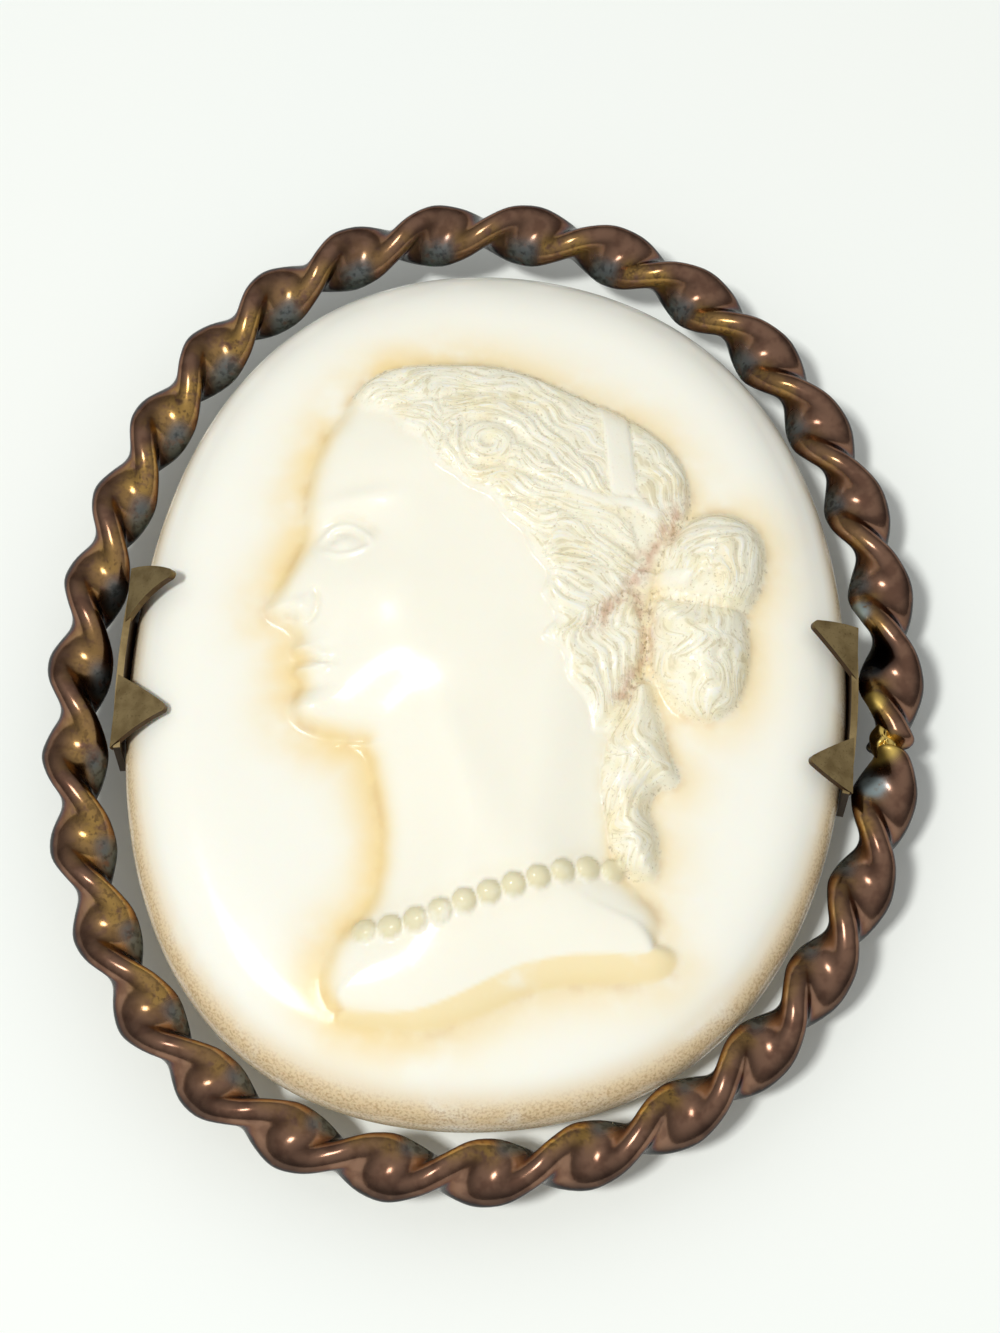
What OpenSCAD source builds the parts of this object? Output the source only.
// Oval carved cameo, held by four folded claws in a frame of twisted flat wire, with a pin behind.
// Lengths are in millimetres. X runs across the brooch, Y up it and Z towards the viewer.
// The brooch lies face up, with the feet of its catch and hinge on the plane z = 0.

/* [Carved tablet] */
// Half width of the tablet
tablet_half_w = 14.95; // [13:0.05:17]
// Half height of the tablet
tablet_half_h = 19.1; // [17:0.05:22]
// Thickness of the tablet at its edge, without the relief
tablet_t = 2.4; // [2:0.1:3.4]
// Height of the straight part of the tablet's side
side_h = 0.5; // [0.2:0.05:1]
// Width of the rounded shoulder between side and field
shoulder_w = 1; // [0.6:0.05:1.6]
// Rise of the field from the shoulder to the middle
field_rise = 0.45; // [0:0.05:0.9]
// How far the tablet's middle lies below the frame's middle
tablet_drop = 0.3; // [0.2:0.01:0.34]

/* [Carved bust] */
// Height of the relief above the field
relief_h = 2.5; // [1:0.1:3]
// One third of the face, from chin to hairline
face_third = 4.69; // [4:0.05:4.9]
// Place of the head's middle across the brooch
head_x = 0.26; // [-1:0.02:1]
// Place of the head's middle up the brooch
head_y = 4.31; // [3:0.02:5]

/* [Twisted frame] */
// Width of the flat wire
wire_w = 2.65; // [2.4:0.01:2.9]
// Thickness of the flat wire, whose two narrow sides are round
wire_t = 1.27; // [1:0.01:1.5]
// Room between the tablet and the rope at the sides
frame_room_side = 0.43; // [0.42:0.01:0.8]
// Room between the tablet and the rope at the top and bottom
frame_room_end = 0.47; // [0.45:0.01:0.9]
// Half turns of twist round the whole frame
half_turns = 30.27; // [20:0.01:36]
// Twist of the wire at the butt joint, in degrees
twist_start = 98; // [0:1:180]
// Place of the butt joint, in degrees clockwise from the right side
butt_angle = 5.6; // [0:0.1:20]
// Gap between the wire's ends at the butt joint
butt_gap = 0.08; // [0.05:0.01:0.2]
// Height of the tablet's back above the rope's underside
back_above_rope = 0.5; // [0.45:0.05:0.9]

/* [Claws] */
// Thickness of the claws' sheet
sheet_t = 0.28; // [0.2:0.01:0.3]
// Clearance between the sheet and the tablet
sheet_clear = 0.04; // [0.03:0.01:0.05]
// Depth of the feet under the tablet
foot_len = 4.4; // [4:0.1:6]
// Thickness of the feet under the tablet
foot_t = 0.35; // [0.3:0.05:0.4]
// Radius of the claws' tips
claw_tip_r = 0.22; // [0.15:0.01:0.3]
// Depth of the claws' fold below the tablet's upper edge
fold_drop = 0.1; // [0:0.05:0.3]

/* [Pin] */
// Diameter of the pin's stem
pin_d = 0.9; // [0.7:0.05:1]
// Height of the rope's underside above the surface that the brooch lies on
pin_drop = 2.4; // [2.2:0.05:3]
// Distance from the stem's hinge to the brooch's middle line
hinge_x = 11.9; // [11.6:0.1:12.2]
// Distance from the catch's middle to the brooch's middle line
catch_x = 11.6; // [11.2:0.1:12]
// Width of the hinge and the catch, up the brooch
pin_block_w = 3.6; // [3:0.1:5]
// Thickness of the catch's walls
catch_wall = 0.4; // [0.3:0.05:0.5]
// Width of the catch, across the brooch
catch_w = 2.2; // [1.6:0.1:3]
// Length of the stem's tapered point
point_len = 2.4; // [1.6:0.1:3]
// Diameter of the point's blunt end
point_d = 0.15; // [0.1:0.05:0.3]
// Reach of the stem past the catch's middle
point_reach = 1.6; // [1.2:0.1:2]
// Thickness of the metal round the stem's eye
eye_wall = 0.4; // [0.3:0.05:0.5]
// Length of the stem's eye along its rivet
eye_len = 1.2; // [1:0.1:1.6]
// Radius of the hinge's rivet
rivet_r = 0.3; // [0.25:0.01:0.35]
// Clearance round the stem's eye and its rivet
pin_clear = 0.06; // [0.04:0.01:0.1]

/* [Hidden] */

shell_colour = "#f4ecd6";
copper_colour = "#6b4a3a";
claw_colour = "#7a6238";
pin_colour = "#8d7a4c";

// Unevenness of the hand-shaped ovals: shares of the radius at three and four waves a round
// columns: cosine of 3 waves, sine of 3 waves, cosine of 4 waves
rope_bend = [0.0082, -0.0090, -0.0073];
tablet_bend = [0.0078, -0.0053, -0.0190];

grid_cols = 58;
grid_rows = 70;
draw_share = 0.18;
field_power = 4;
shoulder_steps = 3;
wire_rings = 270;
edge_points = 5;
wire_sides = 2 * edge_points;
strip_steps = 10;
bow_steps = 6;
end_slack = 0.001;

rope_r = wire_w / 2;
rope_half_w = tablet_half_w + frame_room_side + rope_r;
rope_half_h = tablet_half_h + frame_room_end + rope_r;
rope_mid_z = pin_drop + rope_r;
back_z = pin_drop + back_above_rope;
edge_z = back_z + tablet_t;

// A point of an uneven oval at angle t
function oval(t, half_w, half_h, bend) =
    let (k = 1 + bend[0] * cos(3 * t) + bend[1] * sin(3 * t) + bend[2] * cos(4 * t))
    [half_w * cos(t) * k, half_h * sin(t) * k];

function unit(v) = v / norm(v);

// The rope's middle line, and the shift that centres the frame on the origin
function bare_rope(t) = oval(t, rope_half_w, rope_half_h, rope_bend);
rope_shift = [
    (bare_rope(0)[0] + bare_rope(180)[0]) / 2,
    (bare_rope(90)[1] + bare_rope(270)[1]) / 2
];
function rope_point(t) = bare_rope(t) - rope_shift;

// A point of the tablet's outline, moved outwards by a distance
function tablet_bare(t, inset) =
    oval(t, tablet_half_w - inset, tablet_half_h - inset, tablet_bend) - [0, tablet_drop];
function tablet_outward(t) =
    let (run = tablet_bare(t + 1, 0) - tablet_bare(t - 1, 0))
    unit([run[1], -run[0]]);
function tablet_point(t, out) = tablet_bare(t, 0) + out * tablet_outward(t);

// Forms of the carved bust, as shares of the face third from the head's middle and of the relief
// columns: across, up, half length, half width, lean in degrees, rise, squareness, added (1) or not (0)
ACROSS = 0;
UP = 1;
HALF_LENGTH = 2;
HALF_WIDTH = 3;
LEAN = 4;
RISE = 5;
SQUARE = 6;
ADDED = 7;
bust_forms = [
    // skull and forehead
    [0.05, 0.45, 1.56, 1.36, 0, 0.74, 3, 0],
    [-0.80, 0.80, 0.86, 0.86, 0, 0.66, 3, 0],
    // neck, chest and shoulder
    [0.17, -2.25, 1.46, 0.86, 96, 0.62, 3, 0],
    [0.18, -3.36, 1.36, 0.54, 12, 0.80, 3, 0],
    [-0.46, -3.64, 0.86, 0.50, -4, 0.76, 3, 0],
    [1.10, -3.32, 0.50, 0.40, 0, 0.70, 3, 0],
    // hair over the crown, the front wave and the whorl at the temple
    [0.30, 0.92, 1.40, 1.02, -14, 0.94, 3, 0],
    [-0.72, 1.42, 0.74, 0.44, 30, 0.84, 3, 0],
    [-0.14, 1.02, 0.42, 0.36, 0, 1.00, 3, 0],
    // waves over the ear, the back of the head and the nape
    [0.46, 0.08, 0.72, 0.46, -40, 0.98, 3, 0],
    [1.08, 0.62, 0.54, 0.88, 0, 0.90, 3, 0],
    [0.88, -0.62, 0.70, 0.40, 80, 0.90, 3, 0],
    // two lobes of the bun
    [1.90, 0.15, 0.56, 0.56, 0, 0.98, 2, 0],
    [1.78, -0.80, 0.52, 0.66, 0, 1.02, 2, 0],
    // falling curl in three turns
    [1.10, -1.52, 0.60, 0.38, 98, 0.78, 2, 0],
    [1.26, -2.08, 0.52, 0.40, 84, 0.74, 2, 0],
    [1.34, -2.62, 0.48, 0.36, 100, 0.70, 2, 0],
    // ribbons over the crown and the bun, and the necklace
    [0.98, 1.00, 0.62, 0.22, -72, 0.10, 2, 1],
    [1.47, -0.13, 0.36, 0.20, -5, 0.14, 2, 1],
    [0.27, -3.00, 1.26, 0.19, 17, 0.14, 2, 1],
    // eye hollow, eye, brow, cheek and the wing of the nose
    [-1.18, -0.02, 0.32, 0.20, 0, -0.12, 2, 1],
    [-1.20, -0.03, 0.15, 0.10, 0, 0.09, 2, 1],
    [-1.28, 0.26, 0.32, 0.14, 10, 0.07, 2, 1],
    [-0.94, -0.46, 0.46, 0.34, 0, 0.07, 2, 1],
    [-1.58, -0.66, 0.17, 0.14, 0, 0.08, 2, 1]
];

// Front edge of a plain classical face, in thirds: chin 0, base of the nose 1, brow 2, hair 3
// columns: level up the face, reach ahead of the face line
LEVEL = 0;
AHEAD = 1;
face_profile = [
    [0.00, -0.30],
    [0.10, -0.06],
    [0.25, 0.04],
    [0.38, 0.01],
    [0.47, -0.04],
    [0.58, 0.05],
    [0.68, 0.00],
    [0.78, 0.09],
    [0.92, 0.07],
    [1.02, 0.18],
    [1.12, 0.31],
    [1.22, 0.30],
    [1.42, 0.22],
    [1.62, 0.13],
    [1.82, 0.06],
    [2.05, 0.07],
    [2.50, 0.03],
    [3.00, -0.14],
    [3.30, -0.40]
];
// The face's place and its jaw as shares of a third, its slopes in millimetres and its rises as shares
// of the relief
chin_share = 1.75;
face_line_share = 1.66;
jaw_share = 0.3;
ear_share = 0.75;
jaw_slope = 20;
face_flank = 1.2;
face_rise_share = 0.6;
cheek_way = 5;
cheek_rise_share = 0.16;
foot_soft = 0.3;
chin_y = head_y - chin_share * face_third;
face_line_x = head_x - face_line_share * face_third;
jaw_start_x = face_line_x + jaw_share * face_third;

function eased(s) = s <= 0 ? 0 : s >= 1 ? 1 : s * s * (3 - 2 * s);
function rounded(s) = s <= 0 ? 0 : s >= 1 ? 1 : s * (2 - s);

function face_front(level) =
    let (
        k = max([for (n = [0:len(face_profile) - 2]) if (face_profile[n][LEVEL] <= level) n]),
        low = face_profile[k],
        high = face_profile[k + 1],
        share = eased((level - low[LEVEL]) / (high[LEVEL] - low[LEVEL]))
    )
    face_line_x - face_third * (low[AHEAD] + share * (high[AHEAD] - low[AHEAD]));

// Height of the face, which rises steeply from its outline and gently to the cheek
function face_relief(at) =
    let (level = (at[1] - chin_y) / face_third)
    level <= 0 || level >= face_profile[len(face_profile) - 1][LEVEL]
        ? 0
        : let (
            from_front = at[0] - face_front(level),
            from_jaw = (at[1] - chin_y) * cos(jaw_slope) - (at[0] - jaw_start_x) * sin(jaw_slope),
            from_ear = head_x + ear_share * face_third - at[0],
            inside = min(from_front, from_jaw, from_ear)
        )
        relief_h * (face_rise_share * rounded(inside / face_flank) + cheek_rise_share * eased(inside / cheek_way));

// Height of one form at a point, zero outside it
function mound(form, at) =
    let (
        off = at - [head_x + form[ACROSS] * face_third, head_y + form[UP] * face_third],
        along = (off[0] * cos(form[LEAN]) + off[1] * sin(form[LEAN])) / (form[HALF_LENGTH] * face_third),
        aside = (off[1] * cos(form[LEAN]) - off[0] * sin(form[LEAN])) / (form[HALF_WIDTH] * face_third),
        reach = norm([along, aside])
    )
    reach >= 1 ? 0 : form[RISE] * relief_h * (1 - pow(reach, form[SQUARE]));

function total(values, i = 0) = i < len(values) ? values[i] + total(values, i + 1) : 0;

function relief(at) =
    let (
        mounds = max([for (form = bust_forms) if (form[ADDED] == 0) mound(form, at)]),
        bodies = max(mounds, face_relief(at)),
        touches = total([for (form = bust_forms) if (form[ADDED] == 1) mound(form, at)])
    )
    bodies > 0 ? max(bodies + touches, 0) * bodies / (bodies + foot_soft) : 0;

// A square grid laid over the oval field, as a share of the way from the middle to the shoulder;
// its lines lie closer in the middle, under the bust
function drawn_in(s) = s * (1 - draw_share * (1 - s * s));
function grid_share(i, j) =
    let (u = drawn_in(2 * i / grid_cols - 1), v = drawn_in(2 * j / grid_rows - 1))
    [u * sqrt(1 - v * v / 2), v * sqrt(1 - u * u / 2)];

function field_point(i, j) =
    let (
        share = grid_share(i, j),
        out = norm(share),
        t = atan2(share[1], share[0]),
        rim = oval(t, tablet_half_w - shoulder_w, tablet_half_h - shoulder_w, tablet_bend),
        at = rim * out - [0, tablet_drop]
    )
    [at[0], at[1], edge_z + field_rise * (1 - pow(out, field_power)) + relief(at)];

function grid_index(i, j) = j * (grid_cols + 1) + i;

// Grid places along the rim, counter-clockwise as seen from the front
rim_places = concat(
    [for (i = [0:grid_cols - 1]) [i, 0]],
    [for (j = [0:grid_rows - 1]) [grid_cols, j]],
    [for (i = [0:grid_cols - 1]) [grid_cols - i, grid_rows]],
    [for (j = [0:grid_rows - 1]) [0, grid_rows - j]]
);
rim_count = len(rim_places);

function rim_angle(place) = let (share = grid_share(place[0], place[1])) atan2(share[1], share[0]);

function shoulder_ring(step) =
    let (
        turn = 90 * step / shoulder_steps,
        inset = shoulder_w * (1 - sin(turn)),
        z = back_z + side_h + (tablet_t - side_h) * cos(turn)
    )
    [for (place = rim_places) let (at = tablet_bare(rim_angle(place), inset)) [at[0], at[1], z]];

function back_ring() =
    [for (place = rim_places) let (at = tablet_bare(rim_angle(place), 0)) [at[0], at[1], back_z]];

function ring_faces(upper, lower) = [
    for (k = [0:rim_count - 1])
        let (next = (k + 1) % rim_count)
        for (half = [0, 1])
            half == 0 ? [upper[k], upper[next], lower[next]] : [upper[k], lower[next], lower[k]]
];

module cameo() {
    grid_points = [for (j = [0:grid_rows]) for (i = [0:grid_cols]) field_point(i, j)];
    rings = concat([for (step = [1:shoulder_steps]) shoulder_ring(step)], [back_ring()]);
    ring_points = [for (ring = rings) for (p = ring) p];
    grid_total = len(grid_points);
    rim_index = [for (place = rim_places) grid_index(place[0], place[1])];
    ring_index = [for (r = [0:len(rings) - 1]) [for (k = [0:rim_count - 1]) grid_total + r * rim_count + k]];
    field_faces = [
        for (j = [0:grid_rows - 1])
            for (i = [0:grid_cols - 1])
                for (half = [0, 1])
                    half == 0
                        ? [grid_index(i, j), grid_index(i, j + 1), grid_index(i + 1, j + 1)]
                        : [grid_index(i, j), grid_index(i + 1, j + 1), grid_index(i + 1, j)]
    ];
    side_faces = concat(
        ring_faces(rim_index, ring_index[0]),
        [for (r = [1:len(rings) - 1]) for (face = ring_faces(ring_index[r - 1], ring_index[r])) face]
    );
    color(shell_colour)
        polyhedron(
            points = concat(grid_points, ring_points),
            faces = concat(field_faces, side_faces, [ring_index[len(rings) - 1]])
        );
}

// Way along the rope from the butt joint, in equal angles, with its length summed up
function rope_angle(i) =
    let (slack = butt_gap / 2 / rope_half_h * 180 / PI)
    -butt_angle - slack - (360 - 2 * slack) * i / wire_rings;

rope_way = [
    for (
        i = 0, way = 0;
        i <= wire_rings;
        way = way + (i < wire_rings ? norm(rope_point(rope_angle(i + 1)) - rope_point(rope_angle(i))) : 0),
        i = i + 1
    ) way
];

function rope_outward(i) =
    let (run = rope_point(rope_angle(i) - 0.5) - rope_point(rope_angle(i) + 0.5))
    unit([-run[1], run[0], 0]);

// A corner of the flat wire's section: two half circles, joined by straight sides
function section_corner(k) =
    let (
        end = k < edge_points ? 1 : -1,
        turn = 180 * (k % edge_points) / (edge_points - 1) - 90
    )
    end * [rope_r - wire_t / 2 * (1 - cos(turn)), wire_t / 2 * sin(turn)];

// The wire's section, turned by the twist round the rope's middle line
function wire_ring(i) =
    let (
        at = rope_point(rope_angle(i)),
        outward = rope_outward(i),
        twist = twist_start - 180 * half_turns * rope_way[i] / rope_way[wire_rings],
        across = cos(twist) * outward + [0, 0, sin(twist)],
        through = -sin(twist) * outward + [0, 0, cos(twist)]
    )
    [
        for (k = [0:wire_sides - 1])
            let (corner = section_corner(k))
            [at[0], at[1], rope_mid_z] + corner[0] * across + corner[1] * through
    ];

function wire_index(i, k) = i * wire_sides + k % wire_sides;

// The wire's ends are filed square and meet at the butt joint
module twisted_frame() {
    points = [for (i = [0:wire_rings]) for (p = wire_ring(i)) p];
    faces = concat(
        [[for (k = [0:wire_sides - 1]) wire_index(0, k)]],
        [
            for (i = [0:wire_rings - 1])
                for (k = [0:wire_sides - 1])
                    for (half = [0, 1])
                        half == 0
                            ? [wire_index(i, k), wire_index(i + 1, k), wire_index(i + 1, k + 1)]
                            : [wire_index(i, k), wire_index(i + 1, k + 1), wire_index(i, k + 1)]
        ],
        [[for (k = [0:wire_sides - 1]) wire_index(wire_rings, wire_sides - 1 - k)]]
    );
    color(copper_colour) polyhedron(points = points, faces = faces);
}

// The sheet strip of a bracket stands in the gap between the tablet and the rope
sheet_in = sheet_clear;
sheet_out = sheet_clear + sheet_t;
fold_z = edge_z - fold_drop;
foot_low_z = back_z - sheet_clear - foot_t;

// Angle on the tablet's outline whose point lies at a height up the brooch, right (1) or left (-1)
function side_angle(side, y) =
    let (t = asin((y + tablet_drop) / tablet_half_h))
    side > 0 ? t : 180 - t;

// columns: height of the base's middle, half width of the base, shift of the tip, reach, slope in degrees,
// outward bows of the upper and the lower edge
BASE_Y = 0;
BASE_HALF = 1;
TIP_SHIFT = 2;
REACH = 3;
SLOPE = 4;
UPPER_BOW = 5;
LOWER_BOW = 6;
left_claws = [
    [2.05, 1.2, 0.5, 2.35, 38, 0.12, -0.24],
    [-3.05, 1.6, 0.0, 2.3, 22, 0.04, -0.12]
];
right_claws = [
    [1.35, 1.15, 0.85, 2.05, 24, 0.06, -0.04],
    [-3.5, 1.2, -0.1, 1.9, 24, 0.04, 0.04]
];

module strip(side, y_low, y_high) {
    steps = [for (k = [0:strip_steps]) side_angle(side, y_low + (y_high - y_low) * k / strip_steps)];
    inner = [for (t = steps) tablet_point(t, sheet_in)];
    outer = [for (k = [0:strip_steps]) tablet_point(steps[strip_steps - k], sheet_out)];
    translate([0, 0, foot_low_z])
        linear_extrude(fold_z - foot_low_z)
            polygon(concat(inner, outer));
}

// Points from one place to another, bowed out to the right of the way
function bowed(from, to, bow) =
    let (side = unit([(to - from)[1], -(to - from)[0]]))
    [
        for (n = [0:bow_steps])
            let (s = n / bow_steps)
            from + s * (to - from) + 4 * s * (1 - s) * bow * side
    ];

// A claw's flat blank lies inwards along X from the fold, and its tip is round
module claw_blank(shape) {
    tip = [shape[REACH] - claw_tip_r, shape[TIP_SHIFT]];
    low = [0, -shape[BASE_HALF]];
    high = [0, shape[BASE_HALF]];
    low_side = unit([(tip - low)[1], -(tip - low)[0]]);
    high_side = unit([-(tip - high)[1], (tip - high)[0]]);
    polygon(concat(
        bowed(low, tip + claw_tip_r * low_side, shape[LOWER_BOW]),
        bowed(tip + claw_tip_r * high_side, high, shape[UPPER_BOW])
    ));
    translate(tip) circle(r = claw_tip_r, $fn = 32);
}

module claw(side, shape) {
    fold_x = abs(tablet_point(side_angle(side, shape[BASE_Y]), sheet_out)[0]);
    mirror([side > 0 ? 1 : 0, 0, 0])
        translate([-fold_x, shape[BASE_Y], fold_z])
            rotate([0, -shape[SLOPE], 0])
                translate([0, 0, -sheet_t])
                    linear_extrude(sheet_t)
                        claw_blank(shape);
}

module bracket(side, claws) {
    y_high = claws[0][BASE_Y] + claws[0][BASE_HALF];
    y_low = claws[1][BASE_Y] - claws[1][BASE_HALF];
    foot_x = abs(tablet_point(side_angle(side, 0), sheet_out)[0]);
    strip(side, y_low, y_high);
    for (shape = claws) claw(side, shape);
    mirror([side > 0 ? 1 : 0, 0, 0])
        translate([-foot_x, -pin_block_w / 2, foot_low_z])
            cube([foot_len, pin_block_w, foot_t]);
}

pin_z = pin_d / 2 + catch_wall + pin_clear;
eye_r = pin_d / 2 + eye_wall;

// The catch is a sheet bent into a square C, open towards the bottom of the brooch
module catch() {
    translate([-catch_x - catch_w / 2, 0, 0]) {
        translate([0, pin_block_w / 2 - catch_wall, 0]) cube([catch_w, catch_wall, foot_low_z + end_slack]);
        translate([0, -pin_block_w / 2, 0]) cube([catch_w, pin_block_w, catch_wall]);
    }
}

// The hinge is two cheeks with a rivet between them
module hinge() {
    cheek = (pin_block_w - eye_len) / 2 - pin_clear;
    for (low_y = [-pin_block_w / 2, pin_block_w / 2 - cheek])
        translate([hinge_x - eye_r, low_y, 0])
            cube([2 * eye_r, cheek, foot_low_z + end_slack]);
    translate([hinge_x, pin_block_w / 2, pin_z])
        rotate([90, 0, 0])
            cylinder(r = rivet_r, h = pin_block_w, $fn = 32);
}

module left_bracket() {
    color(claw_colour) {
        bracket(-1, left_claws);
        catch();
    }
}

module right_bracket() {
    color(claw_colour) {
        bracket(1, right_claws);
        hinge();
    }
}

// One plain piece: a round stem with a point at the catch and an eye at the hinge
module pin_stem() {
    tip_x = -catch_x - point_reach;
    color(pin_colour)
        difference() {
            union() {
                translate([tip_x + point_len, 0, pin_z])
                    rotate([0, 90, 0])
                        cylinder(d = pin_d, h = hinge_x - tip_x - point_len, $fn = 32);
                translate([tip_x, 0, pin_z])
                    rotate([0, 90, 0])
                        cylinder(d1 = point_d, d2 = pin_d, h = point_len, $fn = 32);
                translate([hinge_x, eye_len / 2, pin_z])
                    rotate([90, 0, 0])
                        cylinder(r = eye_r, h = eye_len, $fn = 48);
            }
            translate([hinge_x, eye_len, pin_z])
                rotate([90, 0, 0])
                    cylinder(r = rivet_r + pin_clear, h = 2 * eye_len, $fn = 32);
        }
}

cameo();
twisted_frame();
left_bracket();
right_bracket();
pin_stem();
